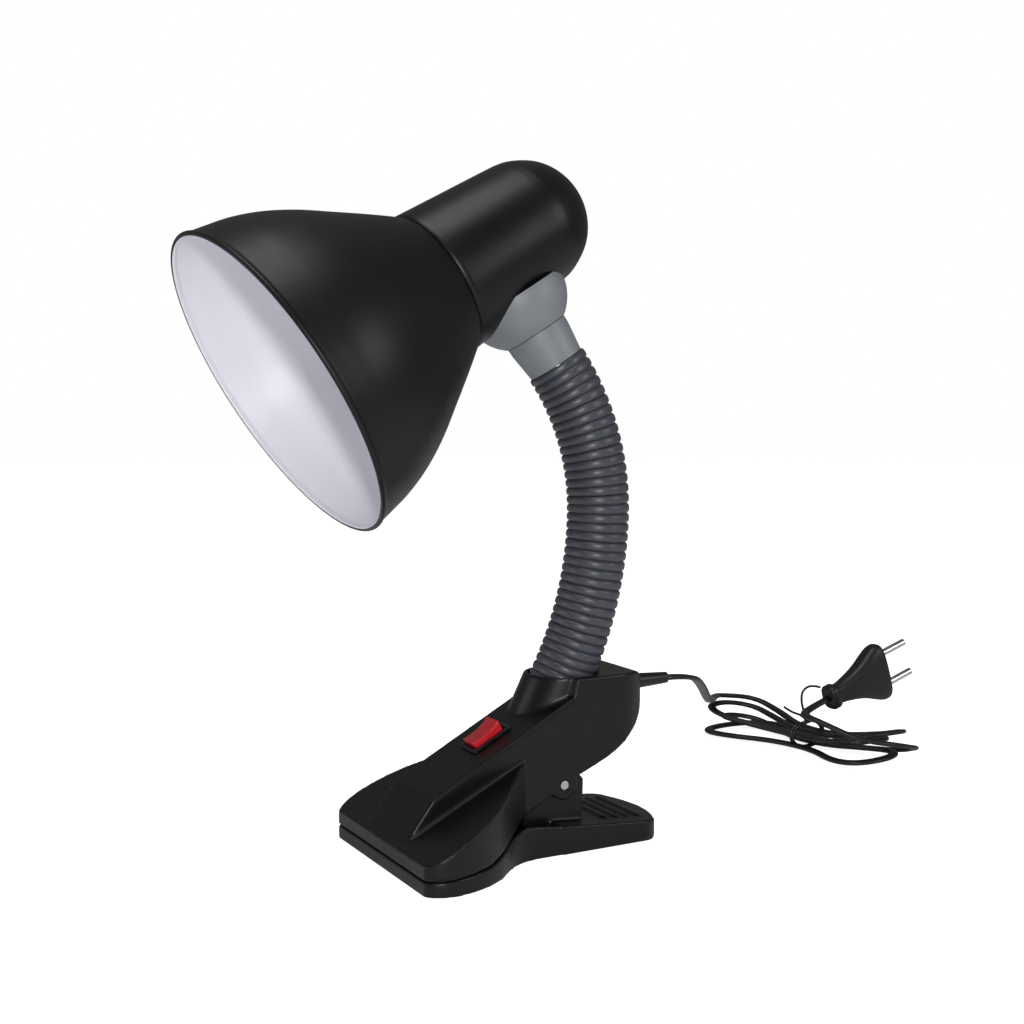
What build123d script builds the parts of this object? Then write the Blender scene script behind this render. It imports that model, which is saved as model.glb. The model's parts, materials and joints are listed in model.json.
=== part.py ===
from build123d import *
import os
from math import cos, pi, radians, sin, tan

# Clip-on reading lamp: a spring clamp that also stands on its own, a bendable gooseneck in a
# ribbed sleeve, and a bell shade with an E27 lamp holder. Millimetres. The origin is the middle
# of the clamp's flat underside, +Z is up, -Y is the way the jaws and the shade point.

os.makedirs("parts", exist_ok=True)

# ---------------------------------------------------------------- driving dimensions
clip_front = -68.0          # front lip of both jaws
clip_back = 68.0            # end of the lower jaw's squeeze lever
body_half = 20.0            # half width of the upper jaw's back
wall = 2.4                  # moulded shells of the clamp
ridge_angle = 28.0          # slope of the back that carries the switch
ridge_height = 58.9         # height of that back, produced to y = 0
wing_height = 47.0          # height of the jaw's flared wings, produced to y = 0
wing_slope = 0.5
deck_height = 78.0          # flat top of the heel, where the neck leaves the clamp
heel_y = 44.8               # centre of the heel's round end
pivot_y = 15.0
pivot_z = 30.0
pin_radius = 2.0
lever_half = 27.0           # half width of the squeeze lever
ear_radius = 7.0
cheek_outer = 17.0          # the lower jaw's hinge cheeks turn inside the upper jaw's walls
cheek_thickness = 3.0
cover_slope = 16.9          # underside cover of the switch compartment
cover_length = 30.0
cover_thickness = 2.0
screw_radius = 1.4
grommet_radius = 4.6
cord_exit = 69.5            # height of the cord's exit from the heel

switch_y = -14.8            # middle of the rocker switch
switch_width = 15.0
switch_length = 21.0
rocker_tilt = 8.0

neck_y = 26.0               # where the neck passes the deck
neck_turn = 22.0            # the neck bends in a plane turned this far about +Z
neck_lean = 23.3            # backward lean of the neck at the deck
neck_arcs = [(195.0, 22.0), (122.0, 34.4)]      # radius and turn of the lower and upper half
neck_joints = 7
sleeve_radius = 14.4
sleeve_wall = 1.8
core_radius = 6.0
core_bore = 3.2

collar_length = 60.0        # from the neck's end to the housing's axis
knuckle_seat = 43.0         # where the knuckle turns on the collar
rim_distance = 117.0        # from the collar's axis to the shade's rim
rim_radius = 73.0
shade_skin = 1.0
throat_distance = 31.0      # shade meets the housing
throat_radius = 34.0
housing_back_radius = 30.2
housing_wall = 2.0
holder_radius = 19.5
thread_radius = 13.25       # E27 screw shell

cord_radius = 2.2
pin_spacing = 18.6          # two-pin mains plug
mains_pin_radius = 2.0
mains_pin_length = 19.0
pin_root_radius = 2.5       # the pins are thicker where the plug is moulded round them



def ridge_z(y):
    return ridge_height + tan(radians(ridge_angle)) * y


def wing_z(y):
    return wing_height + wing_slope * y


# ---------------------------------------------------------------- shared frames
turn = radians(neck_turn)
neck_plane = Plane(
    origin=(0, neck_y, deck_height),
    x_dir=(-sin(turn), -cos(turn), 0),
    z_dir=(-cos(turn), sin(turn), 0),
)
lean = radians(neck_lean)
with BuildLine(neck_plane) as neck_path:
    lower_arc = JernArc((0, 0), (-sin(lean), cos(lean)), neck_arcs[0][0], -neck_arcs[0][1])
    JernArc(lower_arc @ 1, lower_arc % 1, neck_arcs[1][0], -neck_arcs[1][1])
neck_wire = neck_path.wire()
neck_length = neck_wire.length


def neck_point(distance):
    """Point on the neck's centre line, produced straight past either end."""
    inside = min(max(distance, 0.0), neck_length)
    on_path = neck_wire.position_at(inside, position_mode=PositionMode.LENGTH)
    return on_path + neck_direction(inside) * (distance - inside)


def neck_direction(distance):
    inside = min(max(distance, 0.0), neck_length)
    return neck_wire.tangent_at(inside, position_mode=PositionMode.LENGTH)


neck_end = neck_point(neck_length)
collar_up = neck_direction(neck_length)
head_centre = neck_end + collar_up * collar_length
head_out = Vector(0, -collar_up.Z, collar_up.Y).normalized()    # towards the shade's mouth
head_axis = Axis(head_centre, head_out)
collar_axis = Axis(head_centre, collar_up * -1)
head_plane = Plane(origin=head_centre, x_dir=(1, 0, 0), z_dir=head_out)
head_profile = Plane(origin=head_centre, x_dir=head_out, z_dir=(1, 0, 0))
collar_profile = Plane(origin=head_centre, x_dir=collar_up * -1, z_dir=head_out)
cord_plane = Plane(origin=(0, 62.5, cord_exit), x_dir=(1, 0, 0), z_dir=(0, 1, 0))
switch_plane = Plane(
    origin=(0, switch_y, ridge_z(switch_y)),
    x_dir=(1, 0, 0),
    z_dir=(0, -sin(radians(ridge_angle)), cos(radians(ridge_angle))),
)


def save(part, name):
    part.label = name
    export_step(part, "parts/" + name + ".step")


# ---------------------------------------------------------------- clamp: shapes shared by shell and hollow
jaw_outline = [(46.5, clip_front), (51.5, -62), (52.5, -53), (49, -40), (41.6, -28), (33, -19)]


def inset_outline(points, amount):
    """The points of a closed outline, listed anticlockwise, each moved inwards by the amount."""
    moved = []
    for before, point, after in zip(points[-1:] + points[:-1], points, points[1:] + points[:1]):
        first = (Vector(*point) - Vector(*before)).normalized()
        second = (Vector(*after) - Vector(*point)).normalized()
        reach = amount / (1 + first.dot(second))
        moved.append((point[0] - (first.Y + second.Y) * reach, point[1] + (first.X + second.X) * reach))
    return moved


heel_outline = [(32, 37.2), (42.4, 42.4), (50, 48.2), (58, 56), (63, 66), (61, 74), (54, deck_height)]
back_outline = [
    (22, deck_height), (20, ridge_z(20)), (-51, ridge_z(-51)), (-64, 15), (-64, 8), (-37, 8.9), (-5, 18.6),
    (23, 33.5),
]


def upper_back(inset):
    """The ridge, the deck and the heel as one solid, or its hollow when inset by the wall."""
    outline = inset_outline(heel_outline + back_outline, inset)
    heel = outline[:len(heel_outline)]
    with BuildPart() as back:
        with BuildSketch(Plane.YZ):
            with BuildLine():
                Spline(*heel, tangents=((1, 0.43), (-1, 0)))
                Polyline(heel[-1], *outline[len(heel_outline):], heel[0])
            make_face()
        extrude(amount=body_half - inset, both=True)
        with BuildSketch(Plane.XY):
            with Locations((0, (heel_y + clip_front) / 2 - 5)):
                Rectangle(2 * body_half, heel_y - clip_front + 10)
            with Locations((0, heel_y)):
                Circle(body_half - inset)
        extrude(amount=100, mode=Mode.INTERSECT)
    return back.part


def jaw_plan(inset, points):
    """Plan outline of a jaw: straight lip, round cheeks and whatever the points lead to."""
    outline = inset_outline(points + [(-x, y) for x, y in reversed(points)], inset)
    with BuildSketch(Plane.XY) as plan:
        with BuildLine():
            near_cheek = Spline(*outline[:len(points)])
            far_cheek = Spline(*outline[len(points):])
            Line(near_cheek @ 1, far_cheek @ 0)
            Line(far_cheek @ 1, near_cheek @ 0)
        make_face()
    return plan.sketch


def wings(inset):
    """The flared front of the upper jaw, or its hollow, which is open underneath."""
    plan = jaw_plan(inset, jaw_outline + [(20, -5)])
    floor_line = [(-37, 8.9), (-5, 18.6)] if not inset else [(-37, 0), (-5, 0)]
    front_floor = 6.6 if not inset else 0.0
    drop = inset * 1.12
    with BuildPart() as scoop:
        add(plan)
        extrude(amount=80)
        with BuildSketch(Plane.YZ):
            with BuildLine():
                Polyline(
                    (-70, front_floor), *floor_line, (0, floor_line[1][1]), (0, wing_z(0) - drop),
                    (-70, wing_z(-70) - drop), (-70, front_floor),
                )
            make_face()
        extrude(amount=60, both=True, mode=Mode.INTERSECT)
    return scoop.part


# ---------------------------------------------------------------- upper jaw
boss_radius = 17.0
boss_depth = 34.0
boss_floor = -14.0          # along the neck, from the deck
boss_direction = neck_direction(0)
boss_plane = Plane(origin=neck_point(0), x_dir=neck_plane.z_dir, z_dir=boss_direction)
cover_plane = Plane(
    origin=(0, -21, 14.6),
    x_dir=(1, 0, 0),
    z_dir=(0, -sin(radians(cover_slope)), cos(radians(cover_slope))),
)
screw_places = [(x, y) for x in (-13, 13) for y in (-11, 11)]
back_shell = upper_back(0)
back_hollow = upper_back(wall)
wing_shell = wings(0)
wing_hollow = wings(wall)

with BuildPart() as screw_posts:
    with BuildSketch(cover_plane.offset(cover_thickness)):
        with Locations(*screw_places):
            Circle(3.2)
            Circle(screw_radius, mode=Mode.SUBTRACT)
    extrude(amount=60)
    add(back_shell, mode=Mode.INTERSECT)

with BuildPart() as upper_jaw:
    add(back_shell)
    add(wing_shell)
    add(back_hollow, mode=Mode.SUBTRACT)
    add(wing_hollow, mode=Mode.SUBTRACT)
    with BuildSketch(Plane.YZ):
        with BuildLine():
            Polyline(
                (-47, 0), (-47, 12), (-37, 13), (-5, 23), (22, 37.5), (27, 39), (30, 30), (0, 0), (-47, 0)
            )
        make_face()
    extrude(amount=body_half - wall, both=True, mode=Mode.SUBTRACT)
    with BuildSketch(boss_plane.offset(-boss_depth)):
        Circle(boss_radius)
    extrude(amount=boss_depth + 15)
    split(bisect_by=Plane.XY.offset(deck_height), keep=Keep.BOTTOM)
    with BuildSketch(boss_plane.offset(boss_floor)):
        Circle(sleeve_radius + 0.8)
    extrude(amount=40, mode=Mode.SUBTRACT)
    with BuildSketch(boss_plane.offset(boss_floor - 3)):
        Circle(boss_radius - wall)
    extrude(amount=-boss_depth, mode=Mode.SUBTRACT)
    with BuildSketch(boss_plane.offset(boss_floor - 5)):
        Circle(core_radius + 0.05)
    extrude(amount=10, mode=Mode.SUBTRACT)
    with BuildSketch(switch_plane):
        Rectangle(13.2, 19.4)
    extrude(amount=10, both=True, mode=Mode.SUBTRACT)
    for side in (-1, 1):
        with BuildSketch(Plane.YZ.offset(side * (body_half - wall / 2))):
            with Locations((pivot_y, pivot_z)):
                Circle(ear_radius)
        extrude(amount=wall / 2, both=True)
    with BuildSketch(Plane.YZ):
        with Locations((pivot_y, pivot_z)):
            Circle(pin_radius)
    extrude(amount=body_half + 1, both=True, mode=Mode.SUBTRACT)
    with BuildSketch(cord_plane.offset(-10)):
        Circle(grommet_radius)
    extrude(amount=20, mode=Mode.SUBTRACT)
    add(screw_posts.part)
save(upper_jaw.part, "upper_jaw")

# the switch compartment's cover closes the back's underside ahead of the hinge
with BuildPart() as jaw_cover:
    with BuildSketch(cover_plane):
        Rectangle(2 * (body_half - wall - 0.2), cover_length)
        with Locations(*screw_places):
            Circle(screw_radius + 0.2, mode=Mode.SUBTRACT)
    extrude(amount=cover_thickness)
save(jaw_cover.part, "jaw_cover")

with BuildPart() as cover_screws:
    with BuildSketch(cover_plane.offset(-1.6)):
        with Locations(*screw_places):
            Circle(2.8)
    extrude(amount=1.6)
    with BuildSketch(cover_plane):
        with Locations(*screw_places):
            Circle(screw_radius)
    extrude(amount=12)
save(cover_screws.part, "cover_screws")

# soft grip plates face each other across the jaws' mouth
grip_plan = jaw_plan(wall + 0.3, jaw_outline + [(20, -5)])
with BuildPart() as upper_grip:
    add(grip_plan)
    extrude(amount=80)
    with BuildSketch(Plane.YZ):
        with BuildLine():
            Polyline((-62, 7.0), (-38, 9.2), (-38, 12.2), (-62, 10.0), (-62, 7.0))
        make_face()
    extrude(amount=60, both=True, mode=Mode.INTERSECT)
save(upper_grip.part, "upper_grip")

# ---------------------------------------------------------------- lower jaw
lower_outline = jaw_outline + [(28, -11), (26.5, -4), (26.6, 12)]
lower_shape = jaw_plan(0, lower_outline)
lower_hollow = jaw_plan(wall, lower_outline)
with BuildPart() as lower_jaw:
    add(lower_shape)
    extrude(amount=30)
    with BuildSketch(Plane.XY):
        with BuildLine():
            lever_side = Line((26.6, 11), (lever_half, 54))
            lever_end = ThreePointArc((lever_half - 6, 63), (0, clip_back), (6 - lever_half, 63))
            RadiusArc(lever_side @ 1, lever_end @ 0, -9)
            far_corner = RadiusArc(lever_end @ 1, (-lever_half, 54), -9)
            Polyline(far_corner @ 1, (-26.6, 11), (26.6, 11))
        make_face()
    extrude(amount=30)
    with BuildSketch(Plane.YZ):
        with BuildLine():
            Polyline(
                (-70, 0), (-70, 6.0), (-37, 8.2), (-8, 15.5), (8, 13.5), (30, 11.5), (70, 8.5),
                (70, 0), (-70, 0),
            )
        make_face()
    extrude(amount=60, both=True, mode=Mode.INTERSECT)
    with BuildSketch(Plane.XY.offset(wall)):
        add(lower_hollow)
    extrude(amount=30, mode=Mode.SUBTRACT)
    # two cheeks carry the hinge pin between the upper jaw's ears
    for side in (-1, 1):
        with BuildSketch(Plane.YZ.offset(side * (cheek_outer - cheek_thickness / 2))):
            with BuildLine():
                Polyline((-4.5, 1), (-4.5, 20), (8, 36), (22, 36), (27, 31), (25.5, 1), (-4.5, 1))
            make_face()
            with Locations((pivot_y, pivot_z)):
                Circle(pin_radius + 0.05, mode=Mode.SUBTRACT)
        extrude(amount=cheek_thickness / 2, both=True)
    # ribs across the lever for the fingers
    for y in (38, 44, 50, 56):
        with BuildSketch(Plane.XY.offset(7)):
            with Locations((0, y)):
                SlotOverall(36, 2.4)
        extrude(amount=7.9 - 0.075 * y)
save(lower_jaw.part, "lower_jaw")

lower_grip_plan = jaw_plan(wall + 0.3, jaw_outline + [(28, -11), (26.5, -8)])
with BuildPart() as lower_grip:
    with BuildSketch(Plane.XY.offset(wall)):
        add(lower_grip_plan)
        Rectangle(100, 34, mode=Mode.SUBTRACT)
    extrude(amount=30)
    with BuildSketch(Plane.YZ):
        with BuildLine():
            Polyline((-70, 2.4), (-70, 5.6), (-37, 7.8), (-8, 15), (-8, 2.4), (-70, 2.4))
        make_face()
    extrude(amount=60, both=True, mode=Mode.INTERSECT)
save(lower_grip.part, "lower_grip")

with BuildPart() as hinge_pin:
    with BuildSketch(Plane.YZ.offset(-body_half)):
        with Locations((pivot_y, pivot_z)):
            Circle(pin_radius)
    extrude(amount=2 * body_half)
save(hinge_pin.part, "hinge_pin")

# torsion spring round the hinge pin, its arms pressing the jaws' tails apart
coil_radius = 5.4
spring_wire = 0.9
with BuildPart() as jaw_spring:
    with BuildLine():
        spring_line = Helix(2.3, 2.3 * 6, coil_radius, center=(-6.9, pivot_y, pivot_z), direction=(1, 0, 0))
    with BuildSketch(Plane(spring_line @ 0, z_dir=spring_line % 0)):
        Circle(spring_wire)
    sweep(is_frenet=True)
    with BuildSketch(Plane(spring_line @ 0, z_dir=spring_line % 0)):
        Circle(spring_wire)
    extrude(amount=-12)
    with BuildSketch(Plane(spring_line @ 1, z_dir=spring_line % 1)):
        Circle(spring_wire)
    extrude(amount=12)
save(jaw_spring.part, "jaw_spring")

# ---------------------------------------------------------------- switch
with BuildPart() as rocker_body:
    with BuildSketch(switch_plane):
        RectangleRounded(switch_width, switch_length, 1.2)
    extrude(amount=1.3)
    with BuildSketch(switch_plane):
        Rectangle(13.0, 19.2)
    extrude(amount=-10)
    with BuildSketch(switch_plane.offset(-7.5)):
        Rectangle(11.4, 17.8)
    extrude(amount=12, mode=Mode.SUBTRACT)
save(rocker_body.part, "rocker_body")

rocker_angle = radians(ridge_angle + rocker_tilt)
rocker_side = Plane(
    origin=switch_plane.origin, x_dir=(0, cos(rocker_angle), sin(rocker_angle)), z_dir=(1, 0, 0)
)
with BuildPart() as rocker_button:
    with BuildSketch(rocker_side):
        with BuildLine():
            crown = ThreePointArc((-7.9, 5.2), (0, 4.0), (7.9, 5.2))
            Polyline(crown @ 1, (7.6, 0.4), (2.5, -4.5), (-2.5, -4.5), (-7.6, 0.4), crown @ 0)
        make_face()
    extrude(amount=5.3, both=True)
save(rocker_button.part, "rocker_button")

with BuildPart() as switch_tabs:
    for y in (-5.0, 3.0):
        with BuildSketch(switch_plane.offset(-10)):
            with Locations((0, y)):
                Rectangle(4.8, 0.8)
        extrude(amount=-7)
save(switch_tabs.part, "switch_tabs")

# ---------------------------------------------------------------- neck
# The neck bends at seven evenly spaced joints. Between them run short spans of the wound steel
# core and of the ribbed sleeve, with room at each end for the bend.
joint_span = neck_length / neck_joints
joint_places = [joint_span * (n + 0.5) for n in range(neck_joints)]
sleeve_gap = 3.0
core_gap = 1.3
seat_depth = 13.0           # the sleeve's foot below the deck, in the heel's boss
stud_length = 22.0          # the core's foot below the deck, through the boss's floor
socket_depth = 10.0         # the core's head in the collar
for n in range(neck_joints + 1):
    low_place = joint_places[n - 1] if n > 0 else 0.0
    high_place = joint_places[n] if n < neck_joints else neck_length
    low = neck_point(low_place)
    high = neck_point(high_place)
    direction = (high - low).normalized()
    sleeve_low = sleeve_gap
    core_low = core_gap
    sleeve_high = (high - low).length - sleeve_gap
    core_high = (high - low).length - core_gap
    if n == 0:
        direction = boss_direction
        sleeve_low = -seat_depth
        core_low = -stud_length
    if n == neck_joints:
        direction = collar_up
        low = high - collar_up * (high - low).length
        sleeve_high = sleeve_high + sleeve_gap - 0.2
        core_high = core_high + core_gap + socket_depth
    span_plane = Plane(origin=low, x_dir=neck_plane.z_dir, z_dir=direction)
    middle = (sleeve_low + sleeve_high) / 2
    with BuildPart() as neck_sleeve:
        with BuildSketch(span_plane.offset(sleeve_low)):
            Circle(sleeve_radius)
            Circle(sleeve_radius - sleeve_wall, mode=Mode.SUBTRACT)
        extrude(amount=sleeve_high - sleeve_low)
        with BuildSketch(span_plane.offset(middle - 1)):
            Circle(sleeve_radius - 0.5)
            Circle(core_radius, mode=Mode.SUBTRACT)
        extrude(amount=2)
    save(neck_sleeve.part, f"neck_sleeve_{n}")
    with BuildPart() as neck_core:
        with BuildSketch(span_plane.offset(core_low)):
            Circle(core_radius)
            Circle(core_bore, mode=Mode.SUBTRACT)
        extrude(amount=core_high - core_low)
    save(neck_core.part, f"neck_core_{n}")

# the core's threaded foot is clamped to the boss's floor
with BuildPart() as neck_nut:
    with BuildSketch(boss_plane.offset(boss_floor - 3.1)):
        RegularPolygon(9.5, 6)
        Circle(core_radius, mode=Mode.SUBTRACT)
    extrude(amount=-4)
save(neck_nut.part, "neck_nut")

# ---------------------------------------------------------------- collar and knuckle
with BuildPart() as collar:
    with BuildSketch(collar_profile):
        with BuildLine():
            Polyline(
                (knuckle_seat + 0.3, 5.1), (knuckle_seat + 0.3, 15.0), (47, 14.9), (collar_length, 13.3),
                (collar_length, core_radius),
                (collar_length - socket_depth, core_radius), (collar_length - socket_depth, 5.1), (knuckle_seat + 0.3, 5.1),
            )
        make_face()
    revolve(axis=collar_axis)
save(collar.part, "collar")

with BuildPart() as housing:
    with BuildSketch(head_profile):
        with BuildLine():
            Line((throat_distance, 0), (throat_distance, throat_radius))
            Line((throat_distance, throat_radius), (-25, housing_back_radius))
            cap = Spline(
                (-25, housing_back_radius), (-34, 27.9), (-41.5, 23.8), (-47.5, 17.4), (-51.5, 9), (-53, 0),
                tangents=((-1, -0.06), (0, -1)),
            )
            Line(cap @ 1, (throat_distance, 0))
        make_face()
    revolve(axis=head_axis)
    with BuildSketch(head_profile):
        with BuildLine():
            inner_cap = Spline(
                (-25, housing_back_radius - housing_wall), (-33.4, 26), (-40.1, 22.3), (-45.7, 16.4), (-49.6, 8.5), (-51, 0),
                tangents=((-1, -0.06), (0, -1)),
            )
            Polyline(
                inner_cap @ 1, (throat_distance + 1, 0), (throat_distance + 1, throat_radius - housing_wall),
                inner_cap @ 0,
            )
        make_face()
    revolve(axis=head_axis, mode=Mode.SUBTRACT)
    with BuildSketch(Plane(origin=head_centre, x_dir=head_out, z_dir=collar_up * -1)):
        Circle(5.0)
    extrude(amount=40, mode=Mode.SUBTRACT)
save(housing.part, "housing")

with BuildPart() as housing_envelope:
    with BuildSketch(head_profile):
        with BuildLine():
            Polyline(
                (60, 0), (60, throat_radius + 1.84), (-60, 28.24), (-60, 0), (60, 0)
            )
        make_face()
    revolve(axis=head_axis)
with BuildPart() as knuckle:
    with BuildSketch(collar_profile):
        with BuildLine():
            flank = Spline((24, 24.2), (31, 23.6), (37.7, 20.4), (knuckle_seat, 15.4))
            Polyline(flank @ 1, (knuckle_seat, 5.0), (24, 5.0), flank @ 0)
        make_face()
    revolve(axis=collar_axis)
    add(housing_envelope.part, mode=Mode.SUBTRACT)
save(knuckle.part, "knuckle")

tube_end = collar_length - socket_depth - 0.5
with BuildPart() as swivel_tube:
    with BuildSketch(collar_profile):
        with BuildLine():
            Polyline((24, 3.4), (24, 5.0), (tube_end, 5.0), (tube_end, 3.4), (24, 3.4))
        make_face()
    revolve(axis=collar_axis)
save(swivel_tube.part, "swivel_tube")

with BuildPart() as swivel_nut:
    with BuildSketch(Plane(origin=head_centre + collar_up * -25, x_dir=head_out, z_dir=collar_up * -1)):
        RegularPolygon(8.0, 6)
        Circle(5.0, mode=Mode.SUBTRACT)
    extrude(amount=4)
save(swivel_nut.part, "swivel_nut")

# ---------------------------------------------------------------- shade and lamp holder
with BuildPart() as shade:
    with BuildSketch(head_profile):
        with BuildLine():
            outside = Spline(
                (rim_distance, rim_radius), (97, 69.5), (85, 65.6), (72, 59.4), (58, 51), (44, 42.4),
                (throat_distance, throat_radius),
            )
            inside = Spline(
                (throat_distance + 0.6, throat_radius - shade_skin - 0.6), (44.6, 41.5), (58.5, 50),
                (72.5, 58.5), (85.3, 64.6), (97, 68.5), (rim_distance, rim_radius - 1),
            )
            Polyline(
                outside @ 1, (throat_distance, holder_radius + 0.5),
                (throat_distance + 1, holder_radius + 0.5), (throat_distance + 1, throat_radius - 1.6),
                inside @ 0,
            )
            Line(inside @ 1, outside @ 0)
        make_face()
        with Locations((rim_distance - 0.6, rim_radius - 0.6)):
            Circle(1.2)
    revolve(axis=head_axis)
save(shade.part, "shade")

with BuildPart() as holder_ring:
    with BuildSketch(head_profile):
        with BuildLine():
            Polyline(
                (throat_distance + 1, holder_radius), (throat_distance + 1, 26), (throat_distance + 3, 26),
                (throat_distance + 5, 22.4), (throat_distance + 9, 22.4), (throat_distance + 9, holder_radius),
                (throat_distance + 1, holder_radius),
            )
        make_face()
    revolve(axis=head_axis)
save(holder_ring.part, "holder_ring")

with BuildPart() as holder_shell:
    with BuildSketch(head_profile):
        with BuildLine():
            Polyline(
                (-18, 4), (-18, 15), (-14, holder_radius), (26, holder_radius), (26, 24), (throat_distance, 24),
                (throat_distance, holder_radius), (43, holder_radius), (43, 15.2), (14, 15.2), (14, 17.2),
                (-16, 17.2), (-16, 4), (-18, 4),
            )
        make_face()
    revolve(axis=head_axis)
save(holder_shell.part, "holder_shell")

with BuildPart() as screw_shell:
    with BuildSketch(head_profile):
        with BuildLine():
            Polyline((14, thread_radius), (14, 14.0), (38, 14.0), (38, thread_radius), (14, thread_radius))
        make_face()
    revolve(axis=head_axis)
save(screw_shell.part, "screw_shell")

with BuildPart() as holder_base:
    with BuildSketch(head_profile):
        with BuildLine():
            Polyline((2, 0), (2, 17.0), (13.8, 17.0), (13.8, 15.0), (9, 14.5), (9, 0), (2, 0))
        make_face()
    revolve(axis=head_axis)
    with BuildSketch(head_plane.offset(1)):
        with Locations((-10, 0), (10, 0)):
            Circle(1.5)
    extrude(amount=5, mode=Mode.SUBTRACT)
save(holder_base.part, "holder_base")

with BuildPart() as centre_contact:
    with BuildSketch(head_profile):
        with BuildLine():
            Polyline((9, 0), (9, 3), (12, 3), (12.6, 0), (9, 0))
        make_face()
    revolve(axis=head_axis)
save(centre_contact.part, "centre_contact")

with BuildPart() as terminal_screws:
    with BuildSketch(head_plane.offset(0.4)):
        with Locations((-10, 0), (10, 0)):
            Circle(2.8)
    extrude(amount=1.6)
    with BuildSketch(head_plane.offset(2)):
        with Locations((-10, 0), (10, 0)):
            Circle(1.5)
    extrude(amount=4)
save(terminal_screws.part, "terminal_screws")

# ---------------------------------------------------------------- mains cord
# A strain relief leaves the heel, the cord sags to a tied hank behind the clamp, and the plug lies
# on the hank.
relief_tip = 83.5
with BuildPart() as cord_grommet:
    with BuildSketch(Plane(origin=(0, 0, cord_exit), x_dir=(0, 1, 0), z_dir=(1, 0, 0))):
        with BuildLine():
            Polyline(
                (54, 0), (54, 3.6), (55.5, 5.2), (57.2, 5.2), (57.2, grommet_radius - 0.05),
                (63.6, grommet_radius - 0.05), (64, 3.8), (relief_tip, 2.7), (relief_tip, 0), (54, 0),
            )
        make_face()
    revolve(axis=Axis((0, 0, cord_exit), (0, 1, 0)))
save(cord_grommet.part, "cord_grommet")


def run_radii(points):
    """The largest arc that each corner's two runs allow."""
    radii = []
    for before, corner, after in zip(points, points[1:], points[2:]):
        first_run = corner - before
        second_run = after - corner
        turn_angle = radians(first_run.get_angle(second_run))
        radii.append(0.45 * min(first_run.length, second_run.length) / tan(turn_angle / 2))
    return radii


def tube(route, name):
    points = [Vector(*place) for place in route]
    radii = run_radii(points)
    with BuildPart() as cord_tube:
        with BuildLine():
            path = FilletPolyline(*points, radius=radii)
        with BuildSketch(Plane(path @ 0, z_dir=path % 0)):
            Circle(cord_radius)
        sweep()
    save(cord_tube.part, name)
    print(name, "radii", [round(radius, 1) for radius in radii])
    print(name, "volume", round(cord_tube.part.volume), "section x length", round(pi * cord_radius**2 * path.length))


cord_route = [
    (0, relief_tip, cord_exit), (0, 100, cord_exit), (-21, 119, 60), (-55, 148, 44), (-92, 177, 31),
    (-122, 202, 23), (-140, 220, 19),
]
tube(cord_route, "cord")

hank_height = 24.0
tie_place = -77.0
tie_middle = 236.2
hank_outline = [
    (-146, 223), (-141, 206), (-129, 201), (-110, 210), (-92, 220), (-77, 223.5), (-60, 223), (-40, 219.5),
    (-23, 217), (-11, 228), (-9, 249), (-14, 265), (-26, 273), (-44, 268), (-60, 256.5), (-77, 249),
    (-97, 246.5), (-115, 250), (-131, 250), (-141, 240),
]
with BuildPart() as cord_hank:
    with BuildSketch():
        with BuildLine():
            Spline(*hank_outline, periodic=True)
        make_face()
    extrude(amount=hank_height)
    fillet(cord_hank.faces().sort_by(Axis.Z)[-1].edges(), 6)
    with BuildSketch(Plane.YZ.offset(tie_place - 3.2)):
        with Locations((tie_middle, 0)):
            Rectangle(80, 3)
    extrude(amount=6.4, mode=Mode.SUBTRACT)
save(cord_hank.part, "cord_hank")

with BuildPart() as cord_tie:
    with BuildSketch(Plane.YZ.offset(tie_place - 2.5)):
        with Locations((tie_middle, (hank_height + 1.6) / 2)):
            RectangleRounded(29, hank_height + 1.6, 7)
    extrude(amount=5)
    add(cord_hank.part, mode=Mode.SUBTRACT)
save(cord_tie.part, "cord_tie")

plug_tilt = radians(18)
plug_axis = Vector(0, cos(plug_tilt), sin(plug_tilt))
plug_wide = Vector(0, -sin(plug_tilt), cos(plug_tilt))
plug_length = 44.0
plug_rear = Vector(-60, 236, 31.5)
plug_face = plug_rear + plug_axis * plug_length
plug_plane = Plane(origin=plug_face, x_dir=plug_wide, z_dir=plug_axis)
plug_flat = Plane(origin=plug_face, x_dir=plug_axis, z_dir=(1, 0, 0))
plug_edge = Plane(origin=plug_face, x_dir=plug_axis, z_dir=plug_wide * -1)
with BuildPart() as plug_body:
    with BuildSketch(plug_flat):
        with BuildLine():
            upper_side = Spline((-2, 17.2), (-9, 14.4), (-22, 8.2), (-37, 5.2), tangents=((-0.5, -0.6), (-1, 0)))
            Polyline(upper_side @ 1, (-37, 0), (0, 0), (0, 12), upper_side @ 0)
        make_face()
        mirror(about=Plane.XZ)
    extrude(amount=10, both=True)
    with BuildSketch(plug_edge):
        with BuildLine():
            Polyline(
                (0, -6.2), (-10, -6.8), (-37, -4.6), (-37, 4.6), (-10, 6.8), (0, 6.2), (0, -6.2)
            )
        make_face()
    extrude(amount=30, both=True, mode=Mode.INTERSECT)
    with BuildSketch(plug_plane.offset(-37)):
        Ellipse(6.4, 5.2)
    extrude(amount=1 - 7)
    with BuildSketch(plug_plane.offset(-mains_pin_length / 2)):
        with Locations((-pin_spacing / 2, 0), (pin_spacing / 2, 0)):
            Circle(pin_root_radius)
    extrude(amount=20, mode=Mode.SUBTRACT)
save(plug_body.part, "plug_body")

with BuildPart() as plug_pins:
    with BuildSketch(plug_plane.offset(-mains_pin_length / 2)):
        with Locations((-pin_spacing / 2, 0), (pin_spacing / 2, 0)):
            Circle(pin_root_radius)
    extrude(amount=mains_pin_length / 2)
    with BuildSketch(plug_plane):
        with Locations((-pin_spacing / 2, 0), (pin_spacing / 2, 0)):
            Circle(mains_pin_radius)
    extrude(amount=mains_pin_length)
save(plug_pins.part, "plug_pins")

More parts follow.
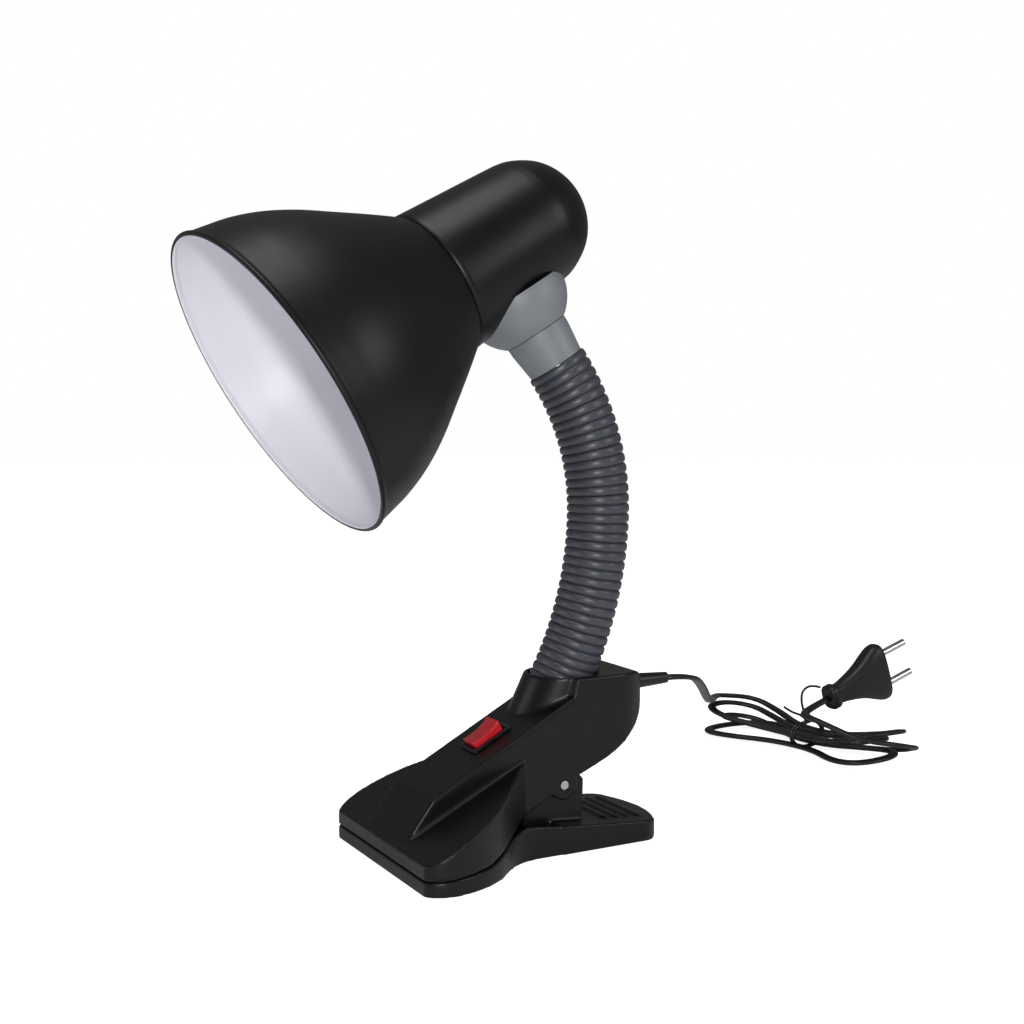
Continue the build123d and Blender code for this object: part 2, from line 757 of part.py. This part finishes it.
rear_end = plug_face + plug_axis * (1 - plug_length)
lead_route = [
    rear_end, rear_end - plug_axis * 16, Vector(-50, 210, 26), Vector(-30, 209, 24), Vector(-15, 232, 17),
]
tube(lead_route, "plug_lead")
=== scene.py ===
import bmesh
import bpy
import json
from math import cos, pi, radians, sin
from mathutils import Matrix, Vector


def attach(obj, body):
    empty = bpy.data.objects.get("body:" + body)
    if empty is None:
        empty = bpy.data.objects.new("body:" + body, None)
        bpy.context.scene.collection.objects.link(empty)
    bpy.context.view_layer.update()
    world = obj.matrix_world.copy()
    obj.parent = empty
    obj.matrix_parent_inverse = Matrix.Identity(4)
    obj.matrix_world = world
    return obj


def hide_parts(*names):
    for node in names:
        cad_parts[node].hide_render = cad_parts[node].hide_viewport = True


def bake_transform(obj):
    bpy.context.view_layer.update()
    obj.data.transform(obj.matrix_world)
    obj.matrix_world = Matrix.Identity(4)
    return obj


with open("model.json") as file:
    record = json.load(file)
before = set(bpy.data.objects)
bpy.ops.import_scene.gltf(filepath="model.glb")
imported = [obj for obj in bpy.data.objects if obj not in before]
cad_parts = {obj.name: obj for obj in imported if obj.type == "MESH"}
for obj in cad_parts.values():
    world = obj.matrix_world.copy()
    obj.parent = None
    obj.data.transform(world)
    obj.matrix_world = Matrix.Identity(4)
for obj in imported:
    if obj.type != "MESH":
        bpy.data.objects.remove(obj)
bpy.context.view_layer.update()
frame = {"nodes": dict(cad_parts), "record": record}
MM = 0.001
UP = Vector((0, 0, 1))


def mm(*numbers):
    return Vector(numbers) * MM


# ---------------------------------------------------- driving dimensions, as in the frame
neck_turn = radians(22.0)           # the neck bends in a plane turned this far about +Z
neck_lean = radians(23.3)
neck_arcs = [(195 * MM, radians(22.0)), (122 * MM, radians(34.4))]
neck_joints = 7
neck_base = mm(0, 26, 78)
neck_flat = Vector((-sin(neck_turn), -cos(neck_turn), 0))
sleeve_radius = 14.4 * MM
collar_length = 60.0 * MM
rim_distance = 117.0
throat_distance = 31.0


def neck_frame(distance):
    """Point and direction of the neck's centre line, which runs straight on past both its ends."""
    point, angle, left = neck_base.copy(), -neck_lean, distance
    for radius, bend in neck_arcs:
        run = min(max(left, 0.0), radius * bend)
        end = angle + run / radius
        point += neck_flat * (radius * (cos(angle) - cos(end)))
        point += UP * (radius * (sin(end) - sin(angle)))
        angle = end
        left -= run
    direction = neck_flat * sin(angle) + UP * cos(angle)
    return point + direction * left, direction


neck_length = sum(radius * bend for radius, bend in neck_arcs)
neck_end, collar_up = neck_frame(neck_length)
head_centre = neck_end + collar_up * collar_length
head_out = Vector((0, -collar_up.z, collar_up.y)).normalized()

# ---------------------------------------------------- camera
camera_data = bpy.data.cameras.new("camera")
camera_data.lens = 52.73
camera_data.sensor_width = 36.0
camera_data.clip_end = 50.0
camera = bpy.data.objects.new("camera", camera_data)
bpy.context.scene.collection.objects.link(camera)
camera.location = mm(592.4, -325.6, 212.8)
camera_pitch = radians(5.03)
camera_heading = Vector((-0.8771, 0.4802, 0)).normalized()
camera_forward = camera_heading * cos(camera_pitch) - UP * sin(camera_pitch)
camera.rotation_euler = camera_forward.to_track_quat("-Z", "Y").to_euler()
bpy.context.scene.camera = camera


# ---------------------------------------------------- mesh helpers
def new_object(name, data):
    piece = bpy.data.objects.new(name, data)
    bpy.context.scene.collection.objects.link(piece)
    return piece


def shade_smooth(mesh):
    for polygon in mesh.polygons:
        polygon.use_smooth = True


def mesh_object(name, vertices, faces):
    """A smooth piece from its vertices and faces, with every face turned outwards."""
    mesh = bpy.data.meshes.new(name)
    mesh.from_pydata([tuple(v) for v in vertices], [], faces)
    mesh.update()
    piece = new_object(name, mesh)
    turned = bmesh.new()
    turned.from_mesh(mesh)
    bmesh.ops.recalc_face_normals(turned, faces=turned.faces)
    turned.to_mesh(mesh)
    turned.free()
    shade_smooth(mesh)
    return piece


def catmull_rom(p, q, r, s, t):
    """The value between q and r, with p before them and s after."""
    square = 2 * p - 5 * q + 4 * r - s
    cube = 3 * q - p - 3 * r + s
    return 0.5 * (2 * q + (r - p) * t + square * t * t + cube * t**3)


def through(points, steps):
    """A smooth line through the points, with so many steps between neighbours."""
    line = []
    last = len(points) - 1
    for n in range(last):
        a, b = points[n], points[n + 1]
        before = points[n - 1] if n > 0 else [2 * x - y for x, y in zip(a, b)]
        after = points[n + 2] if n + 2 <= last else [2 * y - x for x, y in zip(a, b)]
        for step in range(steps):
            t = step / steps
            line.append([catmull_rom(*values, t) for values in zip(before, a, b, after)])
    line.append(list(points[-1]))
    return line


def lathe(name, outline, origin, axis, segments=128, closed=False):
    """Turns an outline of (distance along the axis, radius) in millimetres round the axis."""
    side = axis.orthogonal().normalized()
    other = axis.cross(side)
    vertices, faces, rings = [], [], []
    for along, radius in outline:
        middle = origin + axis * (along * MM)
        if radius < 1e-4:
            vertices.append(middle)
            rings.append([len(vertices) - 1] * segments)
            continue
        start = len(vertices)
        for n in range(segments):
            angle = 2 * pi * n / segments
            vertices.append(middle + (side * cos(angle) + other * sin(angle)) * (radius * MM))
        rings.append(list(range(start, start + segments)))
    pairs = list(zip(rings, rings[1:]))
    if closed:
        pairs.append((rings[-1], rings[0]))
    for low, high in pairs:
        for n in range(segments):
            m = (n + 1) % segments
            corners = [low[n], low[m], high[m], high[n]]
            face = [c for k, c in enumerate(corners) if c not in corners[:k]]
            if len(face) > 2:
                faces.append(face)
    return mesh_object(name, vertices, faces)


def swept(name, line, sections):
    """A closed skin through cross-sections: for each place a list of offsets already in space."""
    vertices, faces = [], []
    count = len(sections[0])
    for place, section in zip(line, sections):
        vertices += [place + offset for offset in section]
    last = (len(line) - 1) * count
    for ring in range(0, last, count):
        for n in range(count):
            m = (n + 1) % count
            faces.append([ring + n, ring + m, ring + count + m, ring + count + n])
    faces.append(list(range(count))[::-1])
    faces.append([last + n for n in range(count)])
    return mesh_object(name, vertices, faces)


def evaluated_mesh(piece):
    """A new mesh of the piece as it shows, with its modifiers or its curve's outline worked out."""
    bpy.context.view_layer.update()
    depsgraph = bpy.context.evaluated_depsgraph_get()
    return bpy.data.meshes.new_from_object(piece.evaluated_get(depsgraph))


def evaluated(piece):
    """Applies the piece's modifiers to its mesh."""
    mesh = evaluated_mesh(piece)
    piece.modifiers.clear()
    piece.data = mesh


def add_nurbs(curve, points):
    """Adds the smooth line that has these control points and starts and ends on them."""
    spline = curve.splines.new("NURBS")
    spline.points.add(len(points) - 1)
    for control, point in zip(spline.points, points):
        control.co = (*point, 1)
    spline.order_u = 3
    spline.use_endpoint_u = True


def curve_mesh(name, curve):
    """The mesh of a curve, which is then dropped."""
    source = new_object(name, curve)
    mesh = evaluated_mesh(source)
    bpy.data.objects.remove(source)
    return mesh


def copy_of(node, name):
    """The CAD node's mesh as a new piece, in the row frame."""
    source = frame["nodes"][node]
    mesh = source.data.copy()
    mesh.transform(source.matrix_world)
    mesh.materials.clear()
    return new_object(name, mesh)


def moulded(node, name, voxel=0.7, rounds=6):
    """The CAD node as a moulding: the same walls, with soft edges."""
    piece = copy_of(node, name)
    remesh = piece.modifiers.new("skin", "REMESH")
    remesh.mode = "VOXEL"
    remesh.voxel_size = voxel * MM
    smooth = piece.modifiers.new("soften", "SMOOTH")
    smooth.factor = 0.5
    smooth.iterations = rounds
    evaluated(piece)
    shade_smooth(piece.data)
    return piece


def bevelled(node, name, width):
    """The CAD node with its sharp edges rounded."""
    piece = copy_of(node, name)
    clean = bmesh.new()
    clean.from_mesh(piece.data)
    bmesh.ops.remove_doubles(clean, verts=clean.verts, dist=1e-6)
    bmesh.ops.dissolve_limit(clean, angle_limit=radians(1), verts=clean.verts, edges=clean.edges)
    clean.to_mesh(piece.data)
    clean.free()
    edge = piece.modifiers.new("edges", "BEVEL")
    edge.width = width * MM
    edge.segments = 3
    edge.limit_method = "ANGLE"
    edge.angle_limit = radians(30)
    edge.harden_normals = False
    evaluated(piece)
    shade_smooth(piece.data)
    piece.data.set_sharp_from_angle(angle=radians(40))
    return piece


# ---------------------------------------------------- materials
gloss_spread = 0.08


def finish_material(
    name, colour, roughness,
    metallic=0.0, grain=900.0, depth=0.02, mottle=0.1, coat=0.0, sheen=0.0, specular=0.5,
):
    """A moulded, painted or metal surface.

    It has a fine grain in its relief, and slow change in its colour and gloss.
    """
    material = bpy.data.materials.new(name)
    material.use_nodes = True
    nodes, links = material.node_tree.nodes, material.node_tree.links
    shader = nodes["Principled BSDF"]
    place = nodes.new("ShaderNodeTexCoord")
    slow = nodes.new("ShaderNodeTexNoise")
    slow.inputs["Scale"].default_value = 38.0
    slow.inputs["Detail"].default_value = 4.0
    links.new(place.outputs["Object"], slow.inputs["Vector"])
    fine = nodes.new("ShaderNodeTexNoise")
    fine.inputs["Scale"].default_value = grain
    fine.inputs["Detail"].default_value = 3.0
    links.new(place.outputs["Object"], fine.inputs["Vector"])
    tint = nodes.new("ShaderNodeMix")
    tint.data_type = "RGBA"
    tint.inputs["A"].default_value = [c * (1 - mottle) for c in colour] + [1]
    tint.inputs["B"].default_value = [min(c * (1 + mottle), 1) for c in colour] + [1]
    links.new(slow.outputs["Fac"], tint.inputs["Factor"])
    links.new(tint.outputs["Result"], shader.inputs["Base Color"])
    gloss = nodes.new("ShaderNodeMapRange")
    gloss.inputs["To Min"].default_value = max(roughness - gloss_spread, 0.02)
    gloss.inputs["To Max"].default_value = min(roughness + gloss_spread, 1)
    links.new(slow.outputs["Fac"], gloss.inputs["Value"])
    links.new(gloss.outputs["Result"], shader.inputs["Roughness"])
    bump = nodes.new("ShaderNodeBump")
    bump.inputs["Strength"].default_value = depth
    bump.inputs["Distance"].default_value = 0.0004
    links.new(fine.outputs["Fac"], bump.inputs["Height"])
    links.new(bump.outputs["Normal"], shader.inputs["Normal"])
    shader.inputs["Metallic"].default_value = metallic
    shader.inputs["Coat Weight"].default_value = coat
    shader.inputs["Coat Roughness"].default_value = 0.12
    shader.inputs["Sheen Weight"].default_value = sheen
    shader.inputs["Specular IOR Level"].default_value = specular
    return material


finishes = {
    "black_enamel": ((0.0022, 0.0022, 0.0030), 0.42, dict(depth=0.03, specular=0.3)),
    "black_gloss": ((0.0022, 0.0022, 0.0030), 0.38, dict(depth=0.03, specular=0.3)),
    "clamp_black": ((0.0030, 0.0030, 0.0036), 0.36, dict(depth=0.08, grain=1400, specular=0.32)),
    "grip_rubber": ((0.012, 0.012, 0.013), 0.75, dict(depth=0.3, sheen=0.1)),
    "steel": ((0.55, 0.55, 0.56), 0.32, dict(metallic=1.0)),
    "brass": ((0.72, 0.55, 0.27), 0.3, dict(metallic=1.0)),
    "switch_red": ((0.52, 0.012, 0.02), 0.28, dict(depth=0.01, coat=0.2)),
    "switch_black": ((0.006, 0.006, 0.007), 0.3, {}),
    "sleeve_grey": ((0.046, 0.049, 0.062), 0.38, dict(depth=0.06)),
    "joint_grey": ((0.19, 0.205, 0.225), 0.45, dict(depth=0.05)),
    "holder_white": ((0.78, 0.78, 0.82), 0.38, dict(depth=0.02, mottle=0.02)),
    "cord_black": ((0.005, 0.005, 0.006), 0.42, dict(depth=0.06, specular=0.4)),
    "pin_nickel": ((0.55, 0.55, 0.57), 0.22, dict(metallic=1.0)),
}
materials = {
    name: finish_material(name, colour, roughness, **more)
    for name, (colour, roughness, more) in finishes.items()
}
shade_white = finish_material("shade_white", (0.80, 0.80, 0.87), 0.42, depth=0.02, mottle=0.015)


def dress(piece, slot, body, *replaced):
    """Gives the piece its finish, hides the CAD nodes it stands for, and hangs it on the body it rides
    on if one is given.
    """
    piece.data.materials.clear()
    piece.data.materials.append(materials[slot])
    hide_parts(*replaced)
    if body:
        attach(piece, body)
    return piece


node_slots = {entry["node"]: entry["material_slot"] for entry in frame["record"]["subparts"]}
for node, cad_object in frame["nodes"].items():
    for material_slot in cad_object.material_slots:
        material_slot.material = materials[node_slots[node]]

# ---------------------------------------------------- mains cord
cord_width = 5.0 * MM
cord_thickness = 3.2 * MM
free_route = [
    (0, 83.5, 69.5), (0, 99, 69), (-20, 119, 59), (-53, 147, 43), (-90, 176, 31),
    (-120, 200, 24), (-138, 215, 21),
]
plug_tilt = radians(18)
plug_axis = Vector((0, cos(plug_tilt), sin(plug_tilt)))
plug_wide = Vector((0, -sin(plug_tilt), cos(plug_tilt)))
plug_face = mm(-60, 236, 31.5) + plug_axis * (44 * MM)
lead_start = plug_face - plug_axis * (43 * MM)
lead_turn = plug_face - plug_axis * (59 * MM)
hank_middle = Vector((-77, 236.2, 0))
hank_slant = 0.2
hank_turns = 3.6
turn_points = 14

# half turns of the hank: waist offset, lobe width, left end, right end, height at the tie, left, right
upper_outer = (7.8, 17.5, 66, 56, 8.0, 20.0, 19.0)
upper_inner = (2.7, 12.5, 58, 49, 8.0, 13.5, 13.5)
lower_inner = (2.7, 11.5, 55, 50, 2.7, 6.0, 7.0)
lower_outer = (7.8, 21.5, 61, 63, 2.7, 2.7, 2.7)
top_outer = (5.2, 19.0, 66, 63, 13.4, 20.0, 24.0)
half_turns = [
    upper_outer, upper_outer, upper_inner, upper_inner,
    lower_inner, lower_outer, lower_outer, top_outer,
]
lane_change = 0.6                   # share of a half turn in which one lane becomes the next
lobe_swell = 2.6


def hank_point(turns):
    """A point of the wound cord, clockwise from the hank's left end; lanes change at its ends."""
    halves = 2 * turns + lane_change / 2
    lane = min(int(halves), len(half_turns) - 1)
    share = min((halves - lane) / lane_change, 1.0) if lane > 0 else 1.0
    before = half_turns[max(lane - 1, 0)]
    waist, lobe, left, right, middle, left_height, right_height = (
        a + (b - a) * share for a, b in zip(before, half_turns[lane])
    )
    phase = 2 * pi * turns
    swing = cos(phase)
    reach, end_height = (left, left_height) if swing > 0 else (right, right_height)
    along = -reach * swing
    across = sin(phase) * (waist + lobe_swell * lobe * swing * swing)
    height = middle + (end_height - middle) * swing * swing
    return (hank_middle + Vector((along, hank_slant * along + across, height))) * MM


hank_points = [hank_point(n / turn_points) for n in range(int(hank_turns * turn_points) + 1)]
lead_points = [mm(-36, 211, 26), mm(-50, 211, 27), lead_turn, lead_start]
cord_points = [mm(*place) for place in free_route] + hank_points + lead_points


def nurbs_line(name, points):
    """The points along the smooth curve that has these control points."""
    curve = bpy.data.curves.new(name, "CURVE")
    curve.dimensions = "3D"
    curve.resolution_u = 8
    add_nurbs(curve, points)
    line = curve_mesh(name, curve)
    places = [v.co.copy() for v in line.vertices]
    bpy.data.meshes.remove(line)
    return places


cord_corners = 20
groove_depth = 0.24
twist_rate = 0.4                    # how fast the flat section turns towards lying level


def flat_cord(name, line):
    """Two-core cord: a flat section with a groove down each side, lying on its wide side."""
    sections = []
    wide = Vector((1, 0, 0))
    for n, place in enumerate(line):
        ahead = line[min(n + 1, len(line) - 1)]
        behind = line[max(n - 1, 0)]
        along = (ahead - behind).normalized()
        level = along.cross(UP)
        wanted = level.normalized() if level.length > 0.35 else wide
        if wanted.dot(wide) < 0:
            wanted = -wanted
        wide = wide * (1 - twist_rate) + wanted * twist_rate
        wide = (wide - along * wide.dot(along)).normalized()
        thin = along.cross(wide)
        section = []
        for corner in range(cord_corners):
            angle = 2 * pi * corner / cord_corners
            groove = 1 - groove_depth * abs(sin(angle)) ** 6
            half_width = cos(angle) * cord_width / 2
            half_height = sin(angle) * groove * cord_thickness / 2
            section.append(wide * half_width + thin * half_height)
        sections.append(section)
    return swept(name, line, sections)


cord_line = nurbs_line("cord_route", cord_points)
cord = dress(
    flat_cord("mains_cord", cord_line), "cord_black", "clip_body", "cord", "cord_hank", "plug_lead",
)


# ---------------------------------------------------- plug and tie
plug_squareness = 3.2               # 2 would give a round section
plug_corners = 48


def plug_shell():
    """Flat plug body, wide at the face and narrowing to the neck ring that the cord enters."""
    outline = [
        (0, 14.6, 5.2), (-0.8, 16.2, 6.2), (-3, 17.0, 6.7), (-7, 16.4, 6.8), (-12, 13.9, 6.7),
        (-18, 10.6, 6.2), (-25, 8.0, 5.5), (-32, 6.2, 4.8), (-36.8, 5.5, 4.5),
    ]
    ring = [
        (-37.0, 5.6, 4.6), (-37.3, 6.6, 5.4), (-38.2, 7.0, 5.8), (-41.6, 7.0, 5.8),
        (-42.6, 6.5, 5.3), (-43, 5.2, 4.2),
    ]
    line, sections = [], []
    for along, half_width, half_height in through(outline, 6) + ring:
        line.append(plug_face + plug_axis * (along * MM))
        section = []
        for corner in range(plug_corners):
            angle = 2 * pi * corner / plug_corners
            reach = abs(cos(angle)) ** plug_squareness + abs(sin(angle)) ** plug_squareness
            square = reach ** (-1 / plug_squareness)
            section.append(
                plug_wide * (cos(angle) * square * half_width * MM)
                + Vector((1, 0, 0)) * (sin(angle) * square * half_height * MM)
            )
        sections.append(section)
    return swept("plug", line, sections)


plug = dress(plug_shell(), "cord_black", "clip_body", "plug_body")


tie_radius = 0.7 * MM
tie_wraps = 2
wrap_points = 16
wrap_start = -79.0
wrap_travel = 4.5
wrap_height = 8.2
wrap_reach = (12.2, 7.4)


def wire_tie():
    """A thin wire wrapped twice round the hank's waist, its ends twisted and curled."""
    points = []
    for n in range(tie_wraps * wrap_points + 1):
        angle = -2 * pi * n / wrap_points + pi / 2
        along = wrap_start + wrap_travel * n / (tie_wraps * wrap_points)
        across = hank_middle.y + wrap_reach[0] * cos(angle)
        points.append(mm(along, across, wrap_height + wrap_reach[1] * sin(angle)))
    curve = bpy.data.curves.new("tie_wire", "CURVE")
    curve.dimensions = "3D"
    curve.bevel_depth = tie_radius
    curve.bevel_resolution = 4
    curve.use_fill_caps = True
    curve.resolution_u = 6
    ends = [
        [
            mm(-77, 236, 15), mm(-78, 235, 20), mm(-81, 235, 26), mm(-83, 237, 32),
            mm(-80, 241, 36), mm(-75, 244, 35),
        ],
        [mm(-76, 236, 15), mm(-79, 234, 19), mm(-83, 230, 20), mm(-87, 227, 23)],
    ]
    for route in [points] + ends:
        add_nurbs(curve, route)
    mesh = curve_mesh("tie_curve", curve)
    shade_smooth(mesh)
    return new_object("tie", mesh)


tie = dress(wire_tie(), "switch_black", "clip_body", "cord_tie")

# ---------------------------------------------------- shade
shade_skin = 0.9
shade_segments = 192
bead_radius = 1.2
shade_outside = [                   # (distance along the lamp's axis, radius), rim to throat
    (rim_distance - 1.4, 72.8), (107, 71.4), (97, 69.5), (85, 65.6), (72, 59.4), (58, 51.0),
    (44, 42.4), (throat_distance, 34.0),
]
bead = [
    (rim_distance - 0.6 + bead_radius * sin(radians(a)), 72.4 + bead_radius * cos(radians(a)))
    for a in range(-45, 181, 15)
]


def shade_piece():
    """Spun shade, black outside and round its rolled rim, white inside, open at the throat."""
    floor_line = throat_distance + shade_skin
    outer = through(shade_outside[::-1], 10)[:-1]
    inner = [(along + 0.35, radius - shade_skin) for along, radius in through(shade_outside, 10)]
    inner = [p for p in inner if throat_distance + 1.5 < p[0] < rim_distance - 1.5]
    neck_hole = [(floor_line, 32.4), (floor_line, 20.1), (throat_distance, 20.1)]
    outline = outer + bead + inner + neck_hole
    piece = lathe("shade", outline, head_centre, head_out, segments=shade_segments, closed=True)
    white_from = len(outer) + len(bead) // 2 + 3
    piece.data.materials.append(materials["black_enamel"])
    piece.data.materials.append(shade_white)
    for number, polygon in enumerate(piece.data.polygons):
        ring = number // shade_segments
        polygon.material_index = 1 if white_from <= ring < len(outline) - 1 else 0
    return piece


shade = shade_piece()
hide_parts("shade")
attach(shade, "head")

# ---------------------------------------------------- housing
housing_mouth = [(30.8, 20.2), (30.8, 33.2), (30.0, 34.0)]
housing_side = [(30.0, 34.0), (10, 32.6), (-8, 31.4), (-25, 30.2)]
housing_cap = [
    (-25, 30.2), (-30, 29.3), (-36, 26.9), (-41.5, 23.6), (-46.2, 18.9), (-49.8, 13.2),
    (-52.2, 6.8), (-53, 0),
]
housing_outline = housing_mouth + through(housing_side, 8)[1:] + through(housing_cap, 8)[1:]
dress(
    lathe("housing", housing_outline, head_centre, head_out, segments=160),
    "black_gloss", "head", "housing",
)

# ---------------------------------------------------- ribbed sleeve
ribs_per_span = 5
rib_steps = 10
rib_groove = 1.15 * MM
sleeve_wall = 2.0 * MM
sleeve_root = 12.0 * MM             # how far the lowest piece reaches down inside the deck's boss
sleeve_segments = 72
sleeve_span = neck_length / neck_joints
rib_pitch = sleeve_span / ribs_per_span


def sleeve_radius_at(distance):
    """Rounded ribs with narrow grooves, counted from the deck."""
    phase = (distance / rib_pitch) % 1.0
    rise = abs(2 * phase - 1)
    return sleeve_radius - rib_groove * rise**3.5


def sleeve_piece(number):
    """One length of the ribbed sleeve, a tube that the hinges at its two ends share."""
    low = sleeve_span * number - (sleeve_root if number == 0 else 0)
    high = sleeve_span * (number + 1)
    if number == neck_joints - 1:
        high -= 0.3 * MM
    steps = round((high - low) / rib_pitch * rib_steps)
    distances = [low + (high - low) * n / steps for n in range(steps + 1)]
    rows = [(distance, sleeve_radius_at(distance)) for distance in distances]
    coarse = rows[::rib_steps // 2]
    if coarse[-1] is not rows[-1]:
        coarse.append(rows[-1])
    rows += [(distance, sleeve_radius - sleeve_wall) for distance, _ in reversed(coarse)]
    across = neck_flat.cross(UP).normalized()
    vertices, faces = [], []
    for distance, radius in rows:
        middle, along = neck_frame(distance)
        forward = along.cross(across)
        for n in range(sleeve_segments):
            angle = 2 * pi * n / sleeve_segments
            vertices.append(middle + (across * cos(angle) + forward * sin(angle)) * radius)
    for row in range(len(rows)):
        here = row * sleeve_segments
        there = (row + 1) % len(rows) * sleeve_segments
        for n in range(sleeve_segments):
            m = (n + 1) % sleeve_segments
            faces.append([here + n, here + m, there + m, there + n])
    piece = mesh_object(f"sleeve_{number}", vertices, faces)
    piece.data.set_sharp_from_angle(angle=radians(60))
    return piece


for number in range(neck_joints):
    sleeve = sleeve_piece(number)
    replaced = [f"neck_sleeve_{number}"]
    if number == neck_joints - 1:
        replaced.append(f"neck_sleeve_{neck_joints}")
    dress(sleeve, "sleeve_grey", None, *replaced)
    tuple(neck_frame(sleeve_span * number)[0])
    tuple(neck_frame(sleeve_span * (number + 1))[0])
    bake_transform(sleeve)

# ---------------------------------------------------- clamp and switch
dress(moulded("upper_jaw", "clamp_upper"), "clamp_black", "clip_body", "upper_jaw")
dress(moulded("lower_jaw", "clamp_lower"), "clamp_black", "lower_jaw", "lower_jaw")
dress(bevelled("rocker_button", "switch_button", 0.6), "switch_red", "rocker", "rocker_button")
dress(bevelled("rocker_body", "switch_frame", 0.35), "switch_black", "clip_body", "rocker_body")


# ---------------------------------------------------- floor, light and air
floor_glow = 0.84
floor_size = 6.0
floor_drop = 0.0002


def floor_material():
    """White paper: it takes a faint contact shadow, and burns out to white for the camera."""
    material = bpy.data.materials.new("paper")
    material.use_nodes = True
    nodes, links = material.node_tree.nodes, material.node_tree.links
    shader = nodes["Principled BSDF"]
    grain = nodes.new("ShaderNodeTexNoise")
    grain.inputs["Scale"].default_value = 30.0
    tint = nodes.new("ShaderNodeMix")
    tint.data_type = "RGBA"
    tint.inputs["A"].default_value = (0.90, 0.90, 0.90, 1)
    tint.inputs["B"].default_value = (0.93, 0.93, 0.93, 1)
    links.new(grain.outputs["Fac"], tint.inputs["Factor"])
    links.new(tint.outputs["Result"], shader.inputs["Base Color"])
    shader.inputs["Roughness"].default_value = 1.0
    shader.inputs["Specular IOR Level"].default_value = 0.0
    sight = nodes.new("ShaderNodeLightPath")
    glow = nodes.new("ShaderNodeMath")
    glow.operation = "MULTIPLY"
    glow.inputs[1].default_value = floor_glow
    links.new(sight.outputs["Is Camera Ray"], glow.inputs[0])
    shader.inputs["Emission Color"].default_value = (1, 1, 1, 1)
    links.new(glow.outputs["Value"], shader.inputs["Emission Strength"])
    return material


floor_mesh = bpy.data.meshes.new("floor")
floor_corners = [(-1, -1), (1, -1), (1, 1), (-1, 1)]
floor_vertices = [(x * floor_size, y * floor_size, 0) for x, y in floor_corners]
floor_mesh.from_pydata(floor_vertices, [], [(0, 1, 2, 3)])
floor = new_object("floor", floor_mesh)
floor.location.z = -floor_drop
floor.data.materials.append(floor_material())

world = bpy.data.worlds.new("studio")
world.use_nodes = True
air, air_links = world.node_tree.nodes, world.node_tree.links
sight = air.new("ShaderNodeLightPath")
level = air.new("ShaderNodeMapRange")
level.inputs["To Min"].default_value = 0.16
level.inputs["To Max"].default_value = 1.0
air_links.new(sight.outputs["Is Camera Ray"], level.inputs["Value"])
air_links.new(level.outputs["Result"], air["Background"].inputs["Strength"])
air["Background"].inputs["Color"].default_value = (1, 1, 1, 1)
bpy.context.scene.world = world


def soft_light(name, place, target, size, power):
    lamp = bpy.data.lights.new(name, "AREA")
    lamp.shape = "RECTANGLE"
    lamp.size, lamp.size_y = size
    lamp.energy = power
    holder = new_object(name, lamp)
    holder.location = Vector(place)
    aim = Vector(target) - Vector(place)
    holder.rotation_euler = aim.to_track_quat("-Z", "Y").to_euler()


soft_light("key", (0.9, -0.39, 0.285), (0, -0.06, 0.2), (0.06, 0.06), 4.4)
soft_light("top", (0.1, -0.3, 1.5), (0, 0, 0.1), (0.9, 0.9), 10)
soft_light("side", (1.0, 0.9, 0.7), (0, 0.05, 0.12), (0.3, 0.6), 4)
soft_light("fill", (-0.5, -1.2, 0.25), (0, -0.05, 0.2), (0.6, 0.6), 2.2)
bpy.context.scene.view_settings.view_transform = "Standard"
